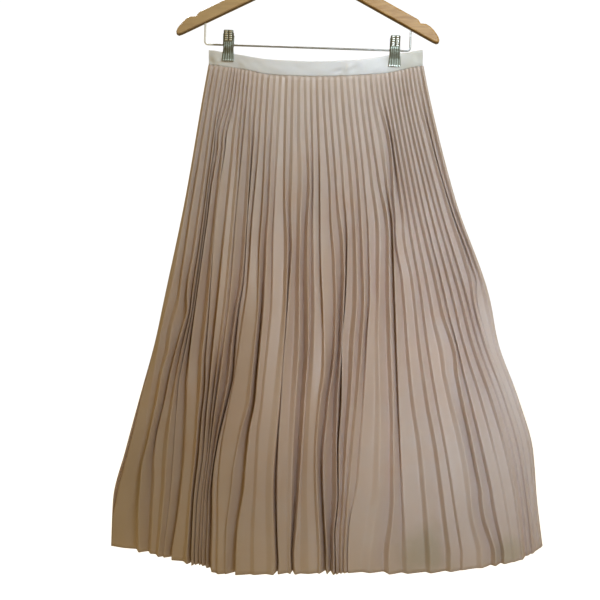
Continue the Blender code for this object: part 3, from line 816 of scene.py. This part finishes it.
def crease_lines(back):
    """Positions of every crease of a panel at every row: [row, crease, xyz]."""
    numbers = np.arange(2 * PLEATS + 1) / 2.0
    ridge = np.arange(2 * PLEATS + 1) % 2 == 1
    from_side = np.minimum(numbers, PLEATS - numbers)
    inner = ease(from_side / SIDE_PLEATS)

    slits = BACK_SLITS if back else SLITS
    valleys = np.array([row[0] for row in slits], float)
    carry = np.exp(-(((valleys[:, None] - valleys[None, :]) / SLIT_CARRY) ** 2))
    reach = np.exp(-(((numbers[:, None] - valleys[None, :]) / SLIT_CARRY) ** 2))
    faces = mirrored_faces() if back else OPEN_FACES

    band = np.array(BAND_ROWS, float)
    hem = np.array(HEM_ROWS, float)
    top = pleat_places(numbers, np.full(len(numbers), PLEAT_ROWS[0][0]), back)
    low = pleat_places(numbers, np.full(len(numbers), PLEAT_ROWS[-1][0]), back)
    seam_heights = smooth_through(band[:, 0], band[:, 2], top)
    hem_heights = smooth_through(hem[:, 0], hem[:, 1], low)
    heads = smooth_through(band[:, 0], band[:, 3], top)
    manner = np.array(MANNER_ROWS, float)
    like = PLEATS - numbers if back else numbers
    kinds = [smooth_through(manner[:, 0], column, like) for column in manner[:, 1:].T]
    jitter, leaning, steep_high, steep_low = kinds

    lines = np.empty((PANEL_ROWS, len(numbers), 3))
    for r, share in enumerate(np.linspace(0.0, 1.0, PANEL_ROWS)):
        heights = seam_heights + (hem_heights - seam_heights) * share
        grown = growth(share, UNEVEN_GROWTH)
        jittered = inner * jitter * (HEAD_JITTER + (1.0 - HEAD_JITTER) * grown)
        moved = numbers + jittered * panel_noise("jitter", numbers, share, back)
        places = pleat_places(moved, heights, back)
        shifts, depths = slit_rows(slits, heights, places, back)
        shifts *= growth(share, SLIT_GROWTH)
        depths *= growth(share, SLIT_GROWTH)
        places = places + inner * (reach @ np.linalg.solve(carry, shifts))
        places, inward, forward = pinch_slits(numbers, places, slits, depths)

        x = across(places)
        pitch = np.gradient(x)
        uneven = SET_LEAN + leaning * panel_noise("lean", numbers, share, back)
        x = x + ridge * inner * 2.0 * pitch * uneven * grown

        leg = LEG_AT_WAIST + (LEG_AT_HEM - LEG_AT_WAIST) * share
        steep = 1.0 + (steep_high - 1.0) * grown + (steep_low - steep_high) * growth(share, LOW_GROWTH)
        rise = np.sqrt(np.maximum(leg**2 - pitch**2, (LEAST_RISE * leg) ** 2)) * steep
        rise *= HEAD_RISE + (1.0 - HEAD_RISE) * growth(share, HEAD_GROWTH)
        rise *= 1.0 + UNEVEN_RISE * panel_noise("rise", numbers, share, back)

        hollow = half_hollow(numbers, share, heads, back)
        below = hollow - inner * inward * (1.0 - RIDGE_SPARED * ridge)
        y = np.maximum(below, SLIT_HOLLOW * hollow) + ridge * (rise + inner * forward)
        open_faces(y, places, heights, faces)
        y = y + inner * DRIFT * panel_noise("drift", numbers, share, back) * grown
        y = np.maximum(y, LEAST_OUT * np.minimum(1.0, 2.0 * from_side))
        z = down(heights, (hollow + RISE_SEEN * rise) * share)
        lines[r] = np.stack([x, -y, z], axis=1)
    return lines


def pleated_panel(name, back, material, replaced):
    """A thin cloth on the crease lines, with slightly bowed legs and eased creases."""
    lines = crease_lines(back)
    rows, creases = lines.shape[:2]
    leg_number = np.arange(creases - 1)
    row_share = np.linspace(0.0, 1.0, rows)
    bow = wander(BOW_SEEDS[back], leg_number[None, :], row_share[:, None], *BOW_NOISE)
    columns = []
    for c in range(creases - 1):
        start = lines[:, c]
        leg = lines[:, c + 1] - start
        length = np.linalg.norm(leg, axis=1)[:, None]
        outward = np.stack([leg[:, 1], -leg[:, 0], np.zeros(rows)], axis=1) / length
        size = LEG_BOW * length * bow[:, c : c + 1]
        for share in LEG_STEPS:
            columns.append(start + leg * share + outward * size * (4.0 * share * (1.0 - share)))
    columns.append(lines[:, -1])
    grid = np.stack(columns, axis=1)
    # Pressed creases are sharp but not knife edges, so each crease point is eased towards its neighbours
    eased = grid.copy()
    step = len(LEG_STEPS)
    inside = np.arange(step, grid.shape[1] - 1, step)
    beside = 0.5 * (grid[:, inside - 1] + grid[:, inside + 1])
    eased[:, inside] = (1.0 - CREASE_EASE) * grid[:, inside] + CREASE_EASE * beside
    if back:
        eased[:, :, 1] *= -1.0
    faces = grid_faces(*eased.shape[:2], back)
    made = mesh_piece(name, eased.reshape(-1, 3), faces, material, replaced)
    thicken(made, "cloth", CLOTH_THICK)
    return made


# Waistband


def band_wrinkles(back):
    if not back:
        return BAND_WRINKLES
    ends = BAND_ROWS[0][0] + BAND_ROWS[-1][0]
    return [(ends - place, *sizes, -slant, rise) for place, *sizes, slant, rise in BAND_WRINKLES]


def waistband(name, back, material, replaced):
    """A folded strip with soft wrinkles, closed all round and at both ends."""
    band = np.array(BAND_ROWS, float)
    places = np.linspace(band[0, 0], band[-1, 0], BAND_POINTS_ACROSS)
    top = smooth_through(band[:, 0], band[:, 1], places)
    seam = smooth_through(band[:, 0], band[:, 2], places)
    gap = smooth_through(band[:, 0], band[:, 3], places)
    rows = []
    for down_share, wall_share in BAND_PROFILE:
        height = top + (seam - top) * down_share
        held = math.sin(math.pi * min(1.0, max(0.0, down_share))) ** BAND_HELD_POWER
        ripple = wander(BAND_SEEDS[back], places / BAND_WAVE, down_share, 1.0, 3.0)
        crease = BAND_SWELL + BAND_RIPPLE * ripple
        for place, share, half_width, half_height, slant, rise in band_wrinkles(back):
            below = (down_share - share) * (seam - top) * UNIT
            beside = (places - place) * UNIT - slant * below
            near = np.exp(-((beside / half_width) ** 2) - (below / half_height) ** 2)
            crease = crease + WRINKLE_DEPTH * rise * near
        outside = float(wall_share > 0.5)
        y = -(gap + BAND_WALL * wall_share + crease * held * outside)
        rows.append(np.stack([across(places), y, down(height)], axis=1))
    grid = np.stack(rows)
    if back:
        grid[:, :, 1] *= -1.0
    n_rows, n_columns = grid.shape[:2]
    faces = grid_faces(n_rows, n_columns, back, closed=True)
    faces.append(tuple(r * n_columns for r in range(n_rows)))
    faces.append(tuple(r * n_columns + n_columns - 1 for r in reversed(range(n_rows))))
    return mesh_piece(name, grid.reshape(-1, 3), faces, material, replaced)


# Clips


def clip_jaw(name, place, back, material, replaced):
    """A pressed sheet jaw: ribbed thumb tab, fluted body and a toothed lip."""
    rows = np.array(JAW_ROWS, float)
    heights = np.linspace(rows[0, 0], rows[-1, 0], JAW_POINTS_DOWN)[:, None]
    shares = np.linspace(-1.0, 1.0, JAW_POINTS_ACROSS)[None, :]
    half = smooth_through(-rows[:, 0], rows[:, 1], -heights)
    forward = smooth_through(-rows[:, 0], rows[:, 2], -heights)
    edge = ease((np.abs(shares) - 1.0 + JAW_EDGE) / JAW_EDGE)
    flute_share = ease((FLUTE_TOP - heights) / (FLUTE_TOP - FLUTE_FULL))
    flutes = 0.5 - 0.5 * np.cos(math.pi * (shares + 1.0) * FLUTES)
    rise = FLUTE_RISE * flute_share * flutes**FLUTE_POWER * (1.0 - edge)
    # Ribs and teeth are marked as rubbed plating, which the steel paints bright: wear and a painted
    # highlight
    wear_and_painted_light = np.zeros_like(rise)
    for column in RIB_COLUMNS:
        beside = np.clip((RIB_HALF_WIDTH - np.abs(shares - column)) / RIB_SOFTNESS, 0.0, 1.0)
        for rib in RIBS:
            rib_bump = np.sqrt(np.clip(1.0 - ((heights - rib) / RIB_HALF_HEIGHT) ** 2, 0.0, 1.0))
            rise = rise + RIB_RISE * rib_bump * beside
            wear_and_painted_light = np.maximum(wear_and_painted_light, rib_bump * beside)
    lip = ease((TEETH_TOP - heights) / LIP_HEIGHT)
    wear_and_painted_light = np.maximum(wear_and_painted_light, LIP_WEAR_AND_PAINTED_LIGHT * lip * flutes**3 * (1.0 - edge))
    turn_start, turn_length = JAW_TURN_GROWTH
    turn = JAW_EDGE_TURN * np.clip((forward - turn_start) / turn_length, 0.0, 1.0)
    last = ease((rows[-1, 0] + LIP_HEIGHT - heights) / LIP_HEIGHT)
    x = place + half * shares * (1.0 - JAW_EDGE_NARROWING * edge)
    y = -(forward + rise - turn * edge)
    z = heights + TOOTH_LENGTH * last * (1.0 - flutes)
    grid = np.stack([x, y, z], axis=2)
    if back:
        grid[:, :, 1] *= -1.0
    faces = grid_faces(JAW_POINTS_DOWN, JAW_POINTS_ACROSS, back)
    made = mesh_piece(name, tilted(grid.reshape(-1, 3)), faces, material, replaced)
    paint = made.data.attributes.new("wear_and_painted_light", "FLOAT", "POINT")
    paint.data.foreach_set("value", wear_and_painted_light.reshape(-1).astype(np.float32))
    thicken(made, "sheet", JAW_SHEET)
    return made


def wire_tube(path, radius, sides):
    """Points and faces of a round wire along any path."""
    path = np.asarray(path, float)
    ahead = np.gradient(path, axis=0)
    ahead /= np.linalg.norm(ahead, axis=1)[:, None]
    normal = np.cross(ahead[0], (0.0, 0.3, 1.0))
    rings = []
    for centre, tangent in zip(path, ahead):
        normal = normal - tangent * normal.dot(tangent)
        normal /= np.linalg.norm(normal)
        other = np.cross(tangent, normal)
        for k in range(sides):
            angle = 2.0 * math.pi * k / sides
            rings.append(centre + radius * (math.cos(angle) * normal + math.sin(angle) * other))
    faces = []
    for i in range(len(path) - 1):
        for k in range(sides):
            a = i * sides + k
            b = i * sides + (k + 1) % sides
            faces.append((a, a + sides, b + sides, b))
    faces.append(tuple(range(sides)))
    faces.append(tuple(reversed(range((len(path) - 1) * sides, len(path) * sides))))
    return rings, faces


def clip_spring(name, place, material, replaced):
    """The coil round the bar, with an arm up behind each thumb tab."""
    path = [(place - SPRING_HALF, -y, z) for y, z in SPRING_ARM]
    steps = round(SPRING_STEPS_A_TURN * (SPRING_TURNS + 0.5))
    for k in range(steps + 1):
        share = k / steps
        angle = 2.0 * math.pi * (SPRING_TURNS + 0.5) * share
        x = place - SPRING_HALF + 2.0 * SPRING_HALF * share
        y = -SPRING_RADIUS * math.cos(angle)
        z = BAR_Z - SPRING_RADIUS * math.sin(angle)
        path.append((x, y, z))
    path += [(place + SPRING_HALF, y, z) for y, z in reversed(SPRING_ARM)]
    points, faces = wire_tube(path, SPRING_WIRE, SPRING_SIDES)
    return mesh_piece(name, tilted(points), faces, material, replaced)


# Stage, light and camera


def pale_floor():
    half = FLOOR_HALF
    corners = [(-half, -half), (half, -half), (half, half), (-half, half)]
    mesh = bpy.data.meshes.new("floor")
    mesh.from_pydata([(x, y, FLOOR_LEVEL) for x, y in corners], [], [(0, 1, 2, 3)])
    floor = bpy.data.objects.new("floor", mesh)
    made, tree, shader = new_material("pale_floor")
    feed(tree, shader, {
        "Base Color": (0.62, 0.62, 0.60, 1.0),
        "Roughness": 0.9,
        "Emission Color": (1.0, 1.0, 1.0, 1.0),
        "Emission Strength": node(tree, "ShaderNodeLightPath").outputs["Is Camera Ray"],
    })
    mesh.materials.append(made)
    bpy.context.scene.collection.objects.link(floor)


def studio_room():
    """A warm room that is dimmer towards the floor, and a white wall behind for the camera."""
    world = bpy.data.worlds.new("studio")
    bpy.context.scene.world = world
    world.use_nodes = True
    tree = world.node_tree
    height = one_axis(tree, node(tree, "ShaderNodeTexCoord").outputs["Generated"], "Z")
    strengths = [share * ROOM_STRENGTH for share in ROOM_SHARES]
    around = tree.nodes["Background"]
    dimmed = ranged(tree, height, ROOM_HEIGHTS, strengths)
    feed(tree, around, {"Color": solid(ROOM_COLOUR), "Strength": dimmed})
    wall = node(tree, "ShaderNodeBackground", {"Color": (1.0, 1.0, 1.0, 1.0), "Strength": WALL_STRENGTH})
    seen = node(tree, "ShaderNodeLightPath").outputs["Is Camera Ray"]
    mix = node(tree, "ShaderNodeMixShader")
    feed(tree, mix, {0: seen, 1: around.outputs["Background"], 2: wall.outputs["Background"]})
    feed(tree, tree.nodes["World Output"], {"Surface": mix.outputs["Shader"]})


def lamps():
    for name, place, target, size, spread, watts, colour in LAMPS:
        lamp = bpy.data.lights.new(name, "AREA")
        lamp.shape = "SQUARE"
        lamp.size = size
        lamp.spread = math.radians(spread)
        lamp.energy = watts
        lamp.color = colour
        stand = bpy.data.objects.new(name, lamp)
        stand.location = place
        aim = Vector(target) - Vector(place)
        stand.rotation_euler = aim.to_track_quat("-Z", "Y").to_euler()
        bpy.context.scene.collection.objects.link(stand)


def photo_camera():
    """Square on to the skirt's front, so that the frame spans the photo's pixels in the middle plane."""
    data = bpy.data.cameras.new("camera")
    data.sensor_width = SENSOR_WIDTH
    data.lens = SENSOR_WIDTH * EYE_DISTANCE / (VIEW_PIXELS * UNIT)
    camera = bpy.data.objects.new("camera", data)
    middle = VIEW_PIXELS / 2.0
    height = -(middle - ORIGIN_DOWN) * UNIT
    camera.location = (float(across(middle)) * MM, -EYE_DISTANCE * MM, height * MM)
    camera.rotation_euler = (math.radians(90.0), 0.0, 0.0)
    bpy.context.scene.collection.objects.link(camera)
    bpy.context.scene.camera = camera
    bpy.context.scene.view_settings.view_transform = "Standard"


# The whole


def clips():
    steel = steel_material(
        "dark_steel", (0.20, 0.215, 0.18), roughness=0.36, wear_and_painted_light_colour=(0.92, 0.92, 0.88)
    )
    for side, place in CLIP_PLACES:
        start = "clip_" + side
        pieces = (
            clip_jaw("jaw_" + side + "_front", place, False, steel, [start + "_front_jaw"]),
            clip_jaw("jaw_" + side + "_back", place, True, steel, [start + "_back_jaw"]),
            clip_spring("coil_" + side, place, steel, [start + "_spring"]),
        )


def skirt():
    satin = cloth_material(
        "blush_satin", *SATIN_COLOURS, roughness=0.45, gloss_share=1.0, stains_and_shade=SATIN_STAINS
    )
    band_satin = cloth_material(
        "band_satin", *BAND_COLOURS_WITH_PAINTED_SHEEN, roughness=0.50, gloss_share=0.5, stains_and_shade=BAND_END_SHADE
    )
    front = pleated_panel("pleats_front", False, satin, ["skirt_front"])
    rear = pleated_panel("pleats_back", True, satin, ["skirt_back"])
    band_front = waistband("band_front", False, band_satin, ["waistband_front"])
    band_back = waistband("band_back", True, band_satin, ["waistband_back"])


def hanger():
    """The CAD's own wood and wires, with materials."""
    wood = wood_material()
    wire = steel_material("bright_wire", (0.42, 0.43, 0.43), roughness=0.30, pale_from=0.166)
    for name, material in (("hanger_wood", wood), ("hanger_hook", wire), ("hanger_bar", wire)):
        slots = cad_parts[name].data.materials
        slots.clear()
        slots.append(material)


clips()
skirt()
hanger()
pale_floor()
studio_room()
lamps()
photo_camera()
